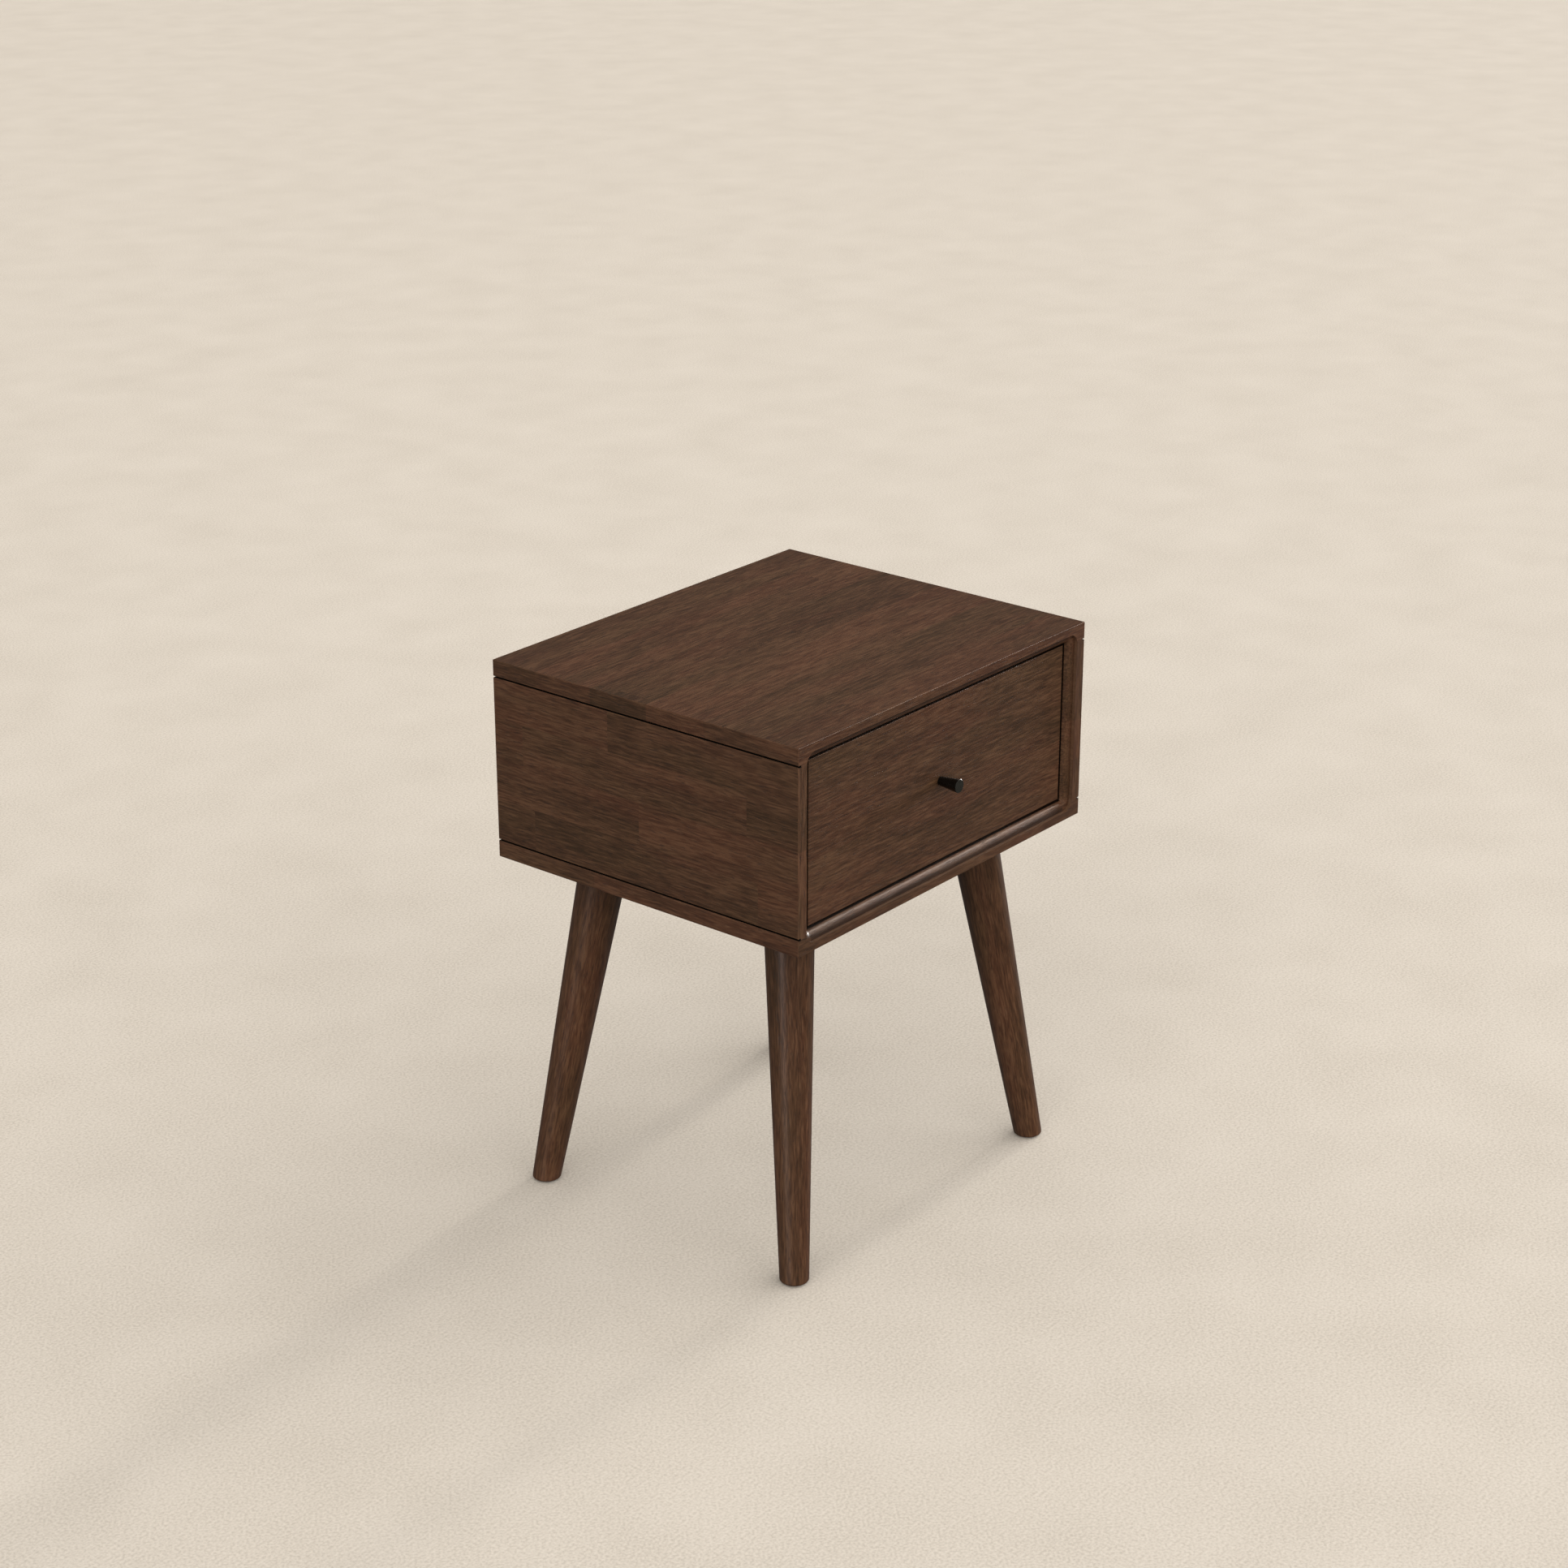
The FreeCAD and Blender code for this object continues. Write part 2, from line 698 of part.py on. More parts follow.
def drawer_front():
    """Inset front with lightly eased edges, bored for the knob screw and four fixing screws."""
    body = block("drawer_front", "-face_half_width", "face_half_width",
                 "face_recess", "face_back_y", "face_bottom", "face_top")
    edges = [f"Edge{index}" for index, edge in enumerate(body.Shape.Edges, start=1)
             if abs(edge.BoundBox.YMax - size("face_recess")) < 0.01]
    plain = body.Tip
    easing = body.newObject("PartDesign::Fillet", "drawer_front_easing")
    easing.Base = (plain, edges)
    bind(easing, Radius="face_edge")
    doc.recompute()
    drill(body, "XZ_Plane", "-face_recess", [("0", "face_middle_z")],
          "knob_screw_radius + knob_screw_play", "face_thickness")
    drill(body, "XZ_Plane", "-face_back_y", FRONT_SCREWS, "screw_radius + fit",
          "front_screw_length - box_board + hole_spare", backwards=True)
    place_in_cabinet(body)
    keep("drawer_front", body)


def box_end(name, near, far):
    """Front or back board of the drawer box, standing between its sides."""
    body = block(name, "-box_inner_x", "box_inner_x", near, far, "box_bottom_height", "box_top")
    middle = f"({near} + {far}) / 2"
    for side in SIDES:
        drill(body, "YZ_Plane", f"{side}box_inner_x", [(middle, z) for z in BOX_DOWEL_HEIGHTS],
              "box_dowel_radius + fit", "box_dowel_length - box_dowel_in_side + hole_spare",
              backwards=side == "-")
    return body


def tray_groove_cutter():
    """The flat space that the bottom tray and its play take in all four boards of the box."""
    half = "box_inner_x + tray_groove"
    groove = block("tray_groove_cutter", f"-({half})", half,
                   "face_back_y + box_board - tray_groove", "box_back_y - box_board + tray_groove",
                   "tray_bottom", "tray_bottom + tray_thickness + tray_play / 2")
    place_in_cabinet(groove)
    doc.recompute()
    return groove


def drawer_box():
    front = box_end("box_front_board", "face_back_y", "face_back_y + box_board")
    drill(front, "XZ_Plane", "-face_back_y", [("0", "face_middle_z")],
          "knob_screw_radius + knob_screw_play", "box_board")
    drill(front, "XZ_Plane", "-face_back_y", FRONT_SCREWS, "screw_radius + fit", "box_board")
    back = box_end("box_back_board", "box_back_y - box_board", "box_back_y")
    sides = []
    for label, side in (("box_left_board", "-"), ("box_right_board", "")):
        board = block(label, f"{side}box_half_width", f"{side}box_inner_x",
                      "face_back_y", "box_back_y", "box_bottom_height", "box_top")
        dowels = [(y, z) for y in BOX_DOWEL_PLACES for z in BOX_DOWEL_HEIGHTS]
        drill(board, "YZ_Plane", f"{side}box_inner_x", dowels, "box_dowel_radius + fit",
              "box_dowel_in_side + hole_spare / 2", backwards=side == "")
        screws = [(y, "slide_middle_z") for y in SLIDE_SCREW_PLACES]
        drill(board, "YZ_Plane", f"{side}box_half_width", screws, "screw_radius + fit",
              "slide_screw_length - slide_sheet", backwards=side == "-")
        sides.append(board)
    names = ("drawer_box_front", "drawer_back", "drawer_left_side", "drawer_right_side")
    groove = tray_groove_cutter()
    for name, board in zip(names, [front, back] + sides):
        place_in_cabinet(board)
        doc.recompute()
        keep(name, cut(name, board, groove))


def drawer_tray():
    half = "(box_inner_x + tray_groove - tray_play)"
    tray = block("drawer_bottom", f"-{half}", half,
                 "face_back_y + box_board - tray_groove + tray_play",
                 "box_back_y - box_board + tray_groove - tray_play",
                 "tray_bottom + tray_play / 4", "tray_bottom + tray_play / 4 + tray_thickness")
    place_in_cabinet(tray)
    keep("drawer_bottom", tray)


def drawer_fasteners():
    dowel = dowel_pattern("box_dowel_pattern", "box_dowel_radius", "box_dowel_length")
    x = size("box_inner_x - box_dowel_length / 2 + box_dowel_in_side")
    group("drawer_dowels", dowel,
          [Placement(in_cabinet(sign * x, size(y), size(z)), TO_RIGHT)
           for sign in SIDES.values() for y in BOX_DOWEL_PLACES for z in BOX_DOWEL_HEIGHTS])
    turned = revolve("front_screw_turned", [
        ("0", "-front_head_height"), ("head_top_radius", "-front_head_height"),
        ("screw_head_radius", "-front_head_rim"), ("screw_head_radius", "0"), ("screw_radius", "0"),
        ("screw_radius", "front_screw_length - screw_point"), ("0", "front_screw_length"),
    ])
    screw = cross_recess("front_screw", turned, "-front_head_height")
    head_y = size("face_back_y + box_board")
    group("drawer_front_screws", screw,
          [Placement(in_cabinet(size(x), head_y, size(z)), TO_FRONT) for x, z in FRONT_SCREWS])


def knob():
    """Truncated cone, wider at its tip, with a blind tapped hole in its back."""
    body = revolve("drawer_knob", [
        ("knob_screw_radius + fit", "0"), ("knob_base_radius", "0"),
        ("knob_tip_radius", "knob_length - knob_edge"),
        ("knob_tip_radius - knob_edge", "knob_length"), ("0", "knob_length"),
        ("0", "knob_bore"), ("knob_screw_radius + fit", "knob_bore"),
    ])
    where = in_cabinet(0, size("face_recess"), size("face_middle_z"))
    body.Placement = Placement(where, TO_FRONT)
    keep("drawer_knob", body)
    under_head = "-face_thickness - box_board"
    end = f"{under_head} + knob_screw_length"
    turned = revolve("knob_screw_turned", [
        ("0", end), ("knob_screw_radius", end), ("knob_screw_radius", under_head),
        ("knob_head_radius", under_head), ("knob_head_radius", f"{under_head} - knob_head_rim"),
        ("head_top_radius", f"{under_head} - knob_head_height"),
        ("0", f"{under_head} - knob_head_height"),
    ])
    screw = cross_recess("knob_screw", turned, f"{under_head} - knob_head_height")
    screw.Placement = Placement(where, TO_FRONT)
    keep("knob_screw", screw)


# ---- slides ----

# Each member's section is given as (distance from the side panel, height above mid height).
# It is drawn for the right-hand slide; the left-hand one is its mirror image.
CHANNELS = {
    # outside of the web, flange tips, half height, the sense from the web to the tips, and the
    # half height of the lips that turn in at the tips
    "cabinet_member": ("0", "flange_tip", "slide_height / 2", "+", "lip_half"),
    "middle_member": ("middle_member_web", "flange_tip", "middle_member_half", "+", None),
    "drawer_member": ("slide_thickness", "drawer_member_tip", "drawer_member_half", "-", None),
}


def channel_outline(web, tip, half, sense, sheet_name, lip=None):
    """Corners of a channel section: its upper half from the web to the tip and back, then mirrored."""
    inner_web = f"({web} {sense} {sheet_name})"
    under = f"{half} - {sheet_name}"
    upper = [(web, half), (tip, half)]
    if lip:
        lip_back = f"({tip} - {sheet_name})"
        upper += [(tip, lip), (lip_back, lip), (lip_back, under)]
    else:
        upper += [(tip, under)]
    upper += [(inner_web, under)]
    lower = [(u, f"-({v})") for u, v in reversed(upper)]
    return upper + lower


def slide_body(label, side, corners, start, length):
    """Section extruded along Y beside the side panel; side is "-" on the left, "" on the right."""
    body = new_body(label)
    sketch = new_sketch(body, "XZ_Plane", f"-({start})")
    placed = [(slide_x(side, u), f"slide_middle_z + {v}") for u, v in corners]
    draw_polygon(sketch, placed)
    pad(body, sketch, length, backwards=True)
    return body


def slide_x(side, distance):
    inwards = f"side_inner_x - ({distance})"
    if side == "-":
        return f"-({inwards})"
    return inwards


def slide_screw_holes(body, side, distance, towards_right):
    centres = [(y, "slide_middle_z") for y in SLIDE_SCREW_PLACES]
    drill(body, "YZ_Plane", slide_x(side, distance), centres, "screw_head_radius", "slide_sheet",
          backwards=towards_right)


def slide(hand, side):
    """One telescopic slide: three nested channels and two cages of balls."""
    for name, (web, tip, half, sense, lip) in CHANNELS.items():
        outline = channel_outline(web, tip, half, sense, "slide_sheet", lip)
        body = slide_body(f"{hand}_slide_{name}", side, outline, "slide_front_y", "slide_length")
        if name == "cabinet_member":
            slide_screw_holes(body, side, "0", towards_right=side == "-")
        if name == "drawer_member":
            slide_screw_holes(body, side, "slide_thickness", towards_right=side == "")
        place_in_cabinet(body)
        keep(body.Label, body)
    for name in ("outer", "inner"):
        outline = channel_outline(f"{name}_cage_web", f"{name}_cage_tip", f"{name}_cage_half", "+",
                                  "cage_sheet")
        cage = slide_body(f"{hand}_slide_{name}_cage", side, outline, "cage_front_y", "cage_length")
        balls = [(slide_x(side, f"{name}_ball_out"), f"cage_front_y + first_ball + {step} * ball_pitch")
                 for step in range(BALLS_PER_ARM)]
        drill(cage, "XY_Plane", "slide_middle_z - slide_height / 2", balls,
              f"{name}_ball_radius + ball_play", "slide_height", backwards=True)
        place_in_cabinet(cage)
        keep(cage.Label, cage)
        slide_balls(f"{hand}_slide_{name}_balls", name, balls)


def slide_balls(label, name, centres):
    """Steel balls, held in the holes of both arms of a cage."""
    rise = size(f"{name}_cage_half - cage_sheet / 2")
    balls = []
    for x, y in centres:
        for up in (-1, 1):
            centre = in_cabinet(size(x), size(y), size("slide_middle_z") + up * rise)
            balls.append(Part.makeSphere(size(f"{name}_ball_radius"), centre))
    keep(label, solid_feature(label, Part.makeCompound(balls)))


def slide_screws():
    pattern = slide_screw_pattern()
    places = {
        "slide_cabinet_screws": ("side_inner_x - slide_sheet", TO_LEFT, TO_RIGHT),
        "drawer_slide_screws": ("box_half_width + slide_sheet", TO_RIGHT, TO_LEFT),
    }
    for name, (x, left_turn, right_turn) in places.items():
        group(name, pattern,
              [Placement(in_cabinet(sign * size(x), size(y), size("slide_middle_z")), turn)
               for sign, turn in ((-1, left_turn), (1, right_turn)) for y in SLIDE_SCREW_PLACES])


# ---- build, check and write ----

def check_document():
    for feature in doc.Objects:
        if "Invalid" in feature.State or "Error" in feature.State:
            raise RuntimeError(f"{feature.Label} failed: {feature.State}")
    for name, feature in made.items():
        shape = feature.Shape
        if shape.isNull() or not shape.isValid() or not shape.Solids:
            raise RuntimeError(f"{name} has no valid shape")


def write_parts():
    os.makedirs("parts", exist_ok=True)
    for name, feature in made.items():
        feature.Shape.exportStep(f"parts/{name}.step")
        print(f"{name:28s} {len(feature.Shape.Solids):3d} solids {feature.Shape.Volume:12.1f} mm3")


fill_sheet()
cabinet_boards()
back_panel()
carcass_dowels()
for leg_name, corner in LEGS.items():
    leg(leg_name, *corner)
leg_fasteners()
drawer_front()
drawer_box()
drawer_tray()
drawer_fasteners()
knob()
slide("left", "-")
slide("right", "")
slide_screws()
doc.recompute()
check_document()
write_parts()
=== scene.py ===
"""Side table with one drawer: finishes, floor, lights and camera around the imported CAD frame.

Lengths are metres in the row frame: X to the right, Y to the back, Z up, origin on the floor.
"""
import math

import bpy
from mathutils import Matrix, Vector


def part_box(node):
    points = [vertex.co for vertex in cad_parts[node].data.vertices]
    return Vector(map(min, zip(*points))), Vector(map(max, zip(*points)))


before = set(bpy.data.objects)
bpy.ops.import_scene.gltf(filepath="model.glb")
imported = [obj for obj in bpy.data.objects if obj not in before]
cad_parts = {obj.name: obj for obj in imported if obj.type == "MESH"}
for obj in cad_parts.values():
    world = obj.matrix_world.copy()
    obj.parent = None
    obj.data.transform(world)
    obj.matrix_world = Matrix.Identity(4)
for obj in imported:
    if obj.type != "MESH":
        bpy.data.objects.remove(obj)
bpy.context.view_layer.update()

MM = 0.001

# The case, read from its packed boards.
OUTER_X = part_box("top_panel")[1].x
INNER_X = -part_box("left_side_panel")[1].x
FRONT_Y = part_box("top_panel")[0].y
BACK_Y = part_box("top_panel")[1].y
JOINT_HEIGHTS = (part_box("bottom_panel")[1].z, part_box("top_panel")[0].z)

# The moulding round the mouth and the grooves along the joints, as the part cuts them.
MOULDING_WIDTH = 10.0 * MM
MOULDING_DEPTH = 10.3 * MM
LEDGE_DEPTH = 4.0 * MM
GROOVE_DEPTH = 4.0 * MM
MOUTH_X = INNER_X + MOULDING_WIDTH
MOUTH_HEIGHTS = (JOINT_HEIGHTS[0] - MOULDING_WIDTH, JOINT_HEIGHTS[1] + MOULDING_WIDTH)

# How far under a face its own grain or colour still counts as being on that face.
FACE_SKIN = 0.5 * MM
EDGE_SKIN = 0.4 * MM


# ---- Node trees ------------------------------------------------------------------------------

# How well a rounded normal matches the real one on a flat face, and on a worn arris.
FLAT_MATCH = 0.995
ARRIS_MATCH = 0.90


class Finish:
    """A material and short ways to add nodes to its tree."""

    def __init__(self, name):
        self.material = bpy.data.materials.new(name)
        self.material.use_nodes = True
        self.tree = self.material.node_tree
        self.shader = next(n for n in self.tree.nodes if n.type == "BSDF_PRINCIPLED")

    def add(self, kind, inputs=None, **settings):
        """Adds a node; inputs maps a socket's name or number to a value or to another socket."""
        node = self.tree.nodes.new("ShaderNode" + kind)
        for name, value in settings.items():
            setattr(node, name, value)
        for socket, value in (inputs or {}).items():
            self.set(node.inputs[socket], value)
        return node

    def set(self, socket, value):
        if isinstance(value, bpy.types.NodeSocket):
            self.tree.links.new(value, socket)
        else:
            socket.default_value = value

    # Numbers and vectors

    def calc(self, operation, first, second=0.0, third=0.0):
        node = self.add("Math", operation=operation)
        for socket, value in zip(node.inputs, (first, second, third)):
            self.set(socket, value)
        return node.outputs[0]

    def vector_calc(self, operation, first, second):
        return self.add("VectorMath", {0: first, 1: second}, operation=operation).outputs[0]

    def scaled(self, coordinates, *factors):
        """The coordinates stretched by a separate factor on each axis."""
        return self.vector_calc("MULTIPLY", coordinates, factors)

    def step_up(self, value, low, high):
        """0 below low, 1 above high, and a straight line between them."""
        node = self.add("MapRange", {"Value": value, "From Min": low, "From Max": high}, clamp=True)
        return node.outputs["Result"]

    # Places and masks

    def place(self):
        """The point's coordinates in the row frame, at rest."""
        return self.add("TexCoord").outputs["Object"]

    def coordinate(self, letter, absolute=False):
        value = self.add("SeparateXYZ", {0: self.place()}).outputs[letter]
        return self.calc("ABSOLUTE", value) if absolute else value

    def above(self, letter, limit, absolute=False):
        """1 where the coordinate (or its size) is above the limit, else 0."""
        return self.calc("GREATER_THAN", self.coordinate(letter, absolute), limit)

    def below(self, letter, limit, absolute=False):
        """1 where the coordinate (or its size) is not above the limit, else 0."""
        return self.inverse(self.above(letter, limit, absolute))

    def inverse(self, mask):
        return self.calc("SUBTRACT", 1.0, mask)

    def both(self, mask, *others):
        """1 where every mask is 1."""
        for other in others:
            mask = self.calc("MULTIPLY", mask, other)
        return mask

    def either(self, mask, *others):
        """1 where any mask is 1."""
        for other in others:
            mask = self.calc("MAXIMUM", mask, other)
        return mask

    def worn_edge(self, radius):
        """1 on an arris, 0 on a flat: how far a rounded normal turns away from the real one."""
        rounded = self.add("Bevel", {"Radius": radius}, samples=4).outputs[0]
        flat = self.add("NewGeometry").outputs["Normal"]
        match = self.add("VectorMath", {0: rounded, 1: flat}, operation="DOT_PRODUCT")
        return self.step_up(match.outputs["Value"], FLAT_MATCH, ARRIS_MATCH)

    # Patterns and colours

    def noise(self, coordinates, detail):
        node = self.add("TexNoise", {"Vector": coordinates, "Scale": 1.0, "Detail": detail})
        return node.outputs["Fac"]

    def even_noise(self, repeats, detail):
        """Noise that repeats this many times a metre on every axis."""
        return self.noise(self.scaled(self.place(), repeats, repeats, repeats), detail)

    def mix(self, factor, first, second):
        node = self.add("Mix", {"Factor": factor, 6: first, 7: second}, data_type="RGBA")
        return node.outputs[2]

    def mix_vector(self, factor, first, second):
        return self.add("Mix", {0: factor, 4: first, 5: second}, data_type="VECTOR").outputs[1]

    def overlay(self, colour, mask, share, paint):
        """The colour, with as much of the paint as share where the mask is 1."""
        return self.mix(self.calc("MULTIPLY", mask, share), colour, (*paint, 1))

    def ramp(self, value, stops):
        """A colour ramp; stops are (position, colour) from low to high."""
        node = self.add("ValToRGB", {"Fac": value})
        elements = node.color_ramp.elements
        while len(elements) < len(stops):
            elements.new(0.5)
        for element, (position, colour) in zip(elements, stops):
            element.position = position
            element.color = (*colour, 1.0)
        return node.outputs["Color"]

    # The shader's sockets

    def colour(self, colour):
        self.set(self.shader.inputs["Base Color"], colour)

    def roughness(self, roughness):
        self.set(self.shader.inputs["Roughness"], roughness)

    def uneven_roughness(self, noise, spread, least):
        """Roughness that follows the noise, from least to least plus spread."""
        self.roughness(self.calc("MULTIPLY_ADD", noise, spread, least))

    def bump(self, height, distance, strength):
        node = self.add("Bump", {"Height": height, "Distance": distance, "Strength": strength})
        self.set(self.shader.inputs["Normal"], node.outputs[0])

    def dress(self, *nodes):
        """Puts the material on every slot of the CAD nodes."""
        for node in nodes:
            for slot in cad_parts[node].material_slots:
                slot.material = self.material


# ---- Wood ------------------------------------------------------------------------------------

WALNUT = {
    "dark": (0.036, 0.0165, 0.0080),
    "middle": (0.086, 0.0395, 0.0192),
    "light": (0.156, 0.078, 0.039),
    "red": (0.120, 0.0425, 0.0215),
    "olive": (0.074, 0.0420, 0.0180),
    "fleck": (0.215, 0.130, 0.074),
    # Pores, and the painted shade line where the moulding's round rises.
    "pore_and_shade": (0.014, 0.0065, 0.0035),
    # Worn arrises, and the painted highlight on the moulding's ledge.
    "wear_and_highlight": (0.190, 0.108, 0.064),
    # Near-black painted shade, for the gaps round the drawer and the inside of the cabinet.
    "gap_shade": (0.0070, 0.0036, 0.0022),
}
BIRCH = {
    "dark": (0.42, 0.28, 0.15),
    "middle": (0.52, 0.36, 0.21),
    "light": (0.60, 0.44, 0.27),
    "red": (0.56, 0.36, 0.20),
    "olive": (0.48, 0.36, 0.21),
    "fleck": (0.66, 0.50, 0.32),
    "pore_and_shade": (0.30, 0.18, 0.09),
    "wear_and_highlight": (0.68, 0.54, 0.36),
}
# Near-black painted shade inside the shadow grooves.
GROOVE_SHADE_BLACK = (0.002, 0.0015, 0.001)

# The layers of the wood's pattern: repeats a metre along the grain and across it.
WANDER = (14, 60)
FIGURE = (3.5, 38)
PATCHES = (5.0, 30)
LEG_TONE = (2, 12)
FIBRES = (34, 480)
FLECKS = (70, 480)
STRANDS = (75, 900)
PORES = (85, 800)

# Where a layer's noise starts to show, and where it shows in full.
PORE_STEP = (0.60, 0.70)
FLECK_STEP = (0.60, 0.76)
FLECKED_PATCH_STEP = (0.42, 0.62)

# How far the grain wanders sideways, and the wood's relief.
WANDER_SIZE = 5 * MM
RELIEF = 0.12 * MM
FIBRE_RELIEF = 0.5
RELIEF_STRENGTH = 0.5

# What each layer adds to the shade, and how far a stave's own tone may move it.
FIGURE_SHARE = 0.26
FIBRE_SHARE = 0.48
STRAND_SHARE = 0.26
STAVE_CONTRAST = 0.06
DRAWER_CONTRAST = 0.02
LEG_CONTRAST = 0.03

# What tone and patches add to the hue, and how strongly each colour lies over the shade.
HUE_BY_TONE = 0.25
HUE_BY_PATCH = 0.9
TINT_SHARE = 0.32
FLECK_SHARE = 0.40
PORE_SHARE = 0.45
WORN_SHARE = 0.22
# Near-black painted shade in the gaps and inside the cabinet.
GAP_SHADE_SHARE = 0.92
# Painted highlight on the moulding's ledge, and its painted shade line on level runs and on
# uprights.
LEDGE_HIGHLIGHT_SHARE = 0.45
CREASE_SHADE_LEVEL = 0.70
CREASE_SHADE_UPRIGHT = 0.20

# Roughness of the lacquer, and what the pattern does to it.
SATIN = 0.38
LEG_ROUGH = 0.34
BACK_ROUGH = 0.48
BARE_ROUGH = 0.45
# Roughness under the painted shade in the gaps.
GAP_SHADE_ROUGH = 0.75
FIBRE_ROUGH = 0.12
PORE_ROUGH = 0.15
ARRIS_ROUGH = -0.04
ARRIS = 1.0 * MM

# Width and length of the staves that each kind of board is glued from.
SLAB_STAVE = (77.5 * MM, 1.6)
SIDE_STAVE = (47 * MM, 0.31)
DRAWER_STAVE = (62 * MM, 1.1)
BACK_STAVE = (95 * MM, 1.3)
BIRCH_STAVE = (60 * MM, 0.9)
LAST_SLAB_STAVE = 62 * MM
STAVE_JUMP = 3.0


def grain_axes(finish, axes):
    """Row-frame coordinates in the order along, across, through, such as "YZX" for grain along Y."""
    split = finish.add("SeparateXYZ", {0: finish.place()})
    parts = {number: split.outputs[letter] for number, letter in enumerate(axes)}
    return finish.add("CombineXYZ", parts).outputs[0]


def staves(finish, grain, size, seed, shift=0.0):
    """Jumps the pattern from one glued stave to the next; returns coordinates and random values."""
    width, length = size
    split = finish.add("SeparateXYZ", {0: grain})
    shifted = finish.calc("ADD", split.outputs["Y"], shift)
    row = finish.calc("FLOOR", finish.calc("DIVIDE", shifted, width))
    start = finish.add("TexWhiteNoise", {"W": finish.calc("ADD", row, seed)}, noise_dimensions="1D")
    lengths = finish.calc("DIVIDE", split.outputs["X"], length)
    column = finish.calc("FLOOR", finish.calc("ADD", lengths, start.outputs["Value"]))
    cell = finish.add("CombineXYZ", {0: row, 1: column, 2: seed}).outputs[0]
    chance = finish.add("TexWhiteNoise", {"Vector": cell}, noise_dimensions="3D")
    jump = finish.scaled(chance.outputs["Color"], STAVE_JUMP, STAVE_JUMP, STAVE_JUMP)
    return finish.vector_calc("ADD", grain, jump), chance.outputs["Value"]


def layer(finish, grain, repeats, detail):
    """Noise drawn out along the grain."""
    along, across = repeats
    return finish.noise(finish.scaled(grain, along, across, across), detail)


def wandering(finish, grain):
    """The grain's coordinates moved a little sideways, so that no line of it runs quite straight."""
    wave = layer(finish, grain, WANDER, detail=1)
    drift = finish.calc("MULTIPLY", finish.calc("SUBTRACT", wave, 0.5), WANDER_SIZE)
    sideways = finish.add("CombineXYZ", {1: drift, 2: drift}).outputs[0]
    return finish.vector_calc("ADD", grain, sideways)


def wood_shade(finish, grain, fibres, tone, contrast):
    """How pale the wood is, about 0.5 on average."""
    shade = finish.calc("MULTIPLY", layer(finish, grain, FIGURE, detail=4), FIGURE_SHARE)
    shade = finish.calc("MULTIPLY_ADD", fibres, FIBRE_SHARE, shade)
    strands = layer(finish, grain, STRANDS, detail=1)
    shade = finish.calc("MULTIPLY_ADD", strands, STRAND_SHARE, shade)
    return finish.calc("MULTIPLY_ADD", finish.calc("SUBTRACT", tone, 0.5), contrast, shade)


def wood_colour(finish, grain, shade, tone, palette):
    """The shade as a colour, tinted and flecked in patches."""
    patch = layer(finish, grain, PATCHES, detail=4)
    hue = finish.calc("MULTIPLY", patch, HUE_BY_PATCH)
    hue = finish.calc("MULTIPLY_ADD", tone, HUE_BY_TONE, hue)
    colour = finish.ramp(shade, [(0.395, palette["dark"]), (0.50, palette["middle"]),
                                 (0.605, palette["light"])])
    tint = finish.ramp(hue, [(0.42, palette["olive"]), (0.58, palette["middle"]),
                             (0.72, palette["red"])])
    colour = finish.mix(TINT_SHARE, colour, tint)
    flecks = finish.step_up(layer(finish, grain, FLECKS, detail=2), *FLECK_STEP)
    flecked = finish.calc("MULTIPLY", flecks, finish.step_up(patch, *FLECKED_PATCH_STEP))
    return finish.overlay(colour, flecked, FLECK_SHARE, palette["fleck"])


def wood(finish, grain, tone, palette, rough, contrast=STAVE_CONTRAST, painted_shade=None):
    """Colour, gloss and relief of lacquered wood whose grain runs along the first coordinate.

    tone sets each stave's own shade, by as much as contrast; the last argument is 1 where
    near-black painted shade, rougher than the lacquer, stands in for the shade in the gaps and
    inside the cabinet. Returns the colour, for a caller that lays more over it.
    """
    grain = wandering(finish, grain)
    fibres = layer(finish, grain, FIBRES, detail=3)
    pores = finish.step_up(layer(finish, grain, PORES, detail=1), *PORE_STEP)
    edge = finish.worn_edge(ARRIS)
    shade = wood_shade(finish, grain, fibres, tone, contrast)
    colour = wood_colour(finish, grain, shade, tone, palette)
    colour = finish.overlay(colour, pores, PORE_SHARE, palette["pore_and_shade"])
    colour = finish.overlay(colour, edge, WORN_SHARE, palette["wear_and_highlight"])
    roughness = finish.calc("MULTIPLY_ADD", fibres, FIBRE_ROUGH, rough - FIBRE_ROUGH / 2)
    roughness = finish.calc("MULTIPLY_ADD", pores, PORE_ROUGH, roughness)
    roughness = finish.calc("MULTIPLY_ADD", edge, ARRIS_ROUGH, roughness)
    # Near-black painted shade in the gaps and inside the cabinet, with a rougher surface there.
    if painted_shade is not None:
        colour = finish.overlay(colour, painted_shade, GAP_SHADE_SHARE, palette["gap_shade"])
        shade_roughness = finish.calc("MULTIPLY", painted_shade, GAP_SHADE_ROUGH)
        roughness = finish.calc("MAXIMUM", roughness, shade_roughness)
    finish.colour(colour)
    finish.roughness(roughness)
    height = finish.calc("SUBTRACT", finish.calc("MULTIPLY", fibres, FIBRE_RELIEF), pores)
    finish.bump(height, RELIEF, RELIEF_STRENGTH)
    return colour


# ---- Boards and legs -------------------------------------------------------------------------

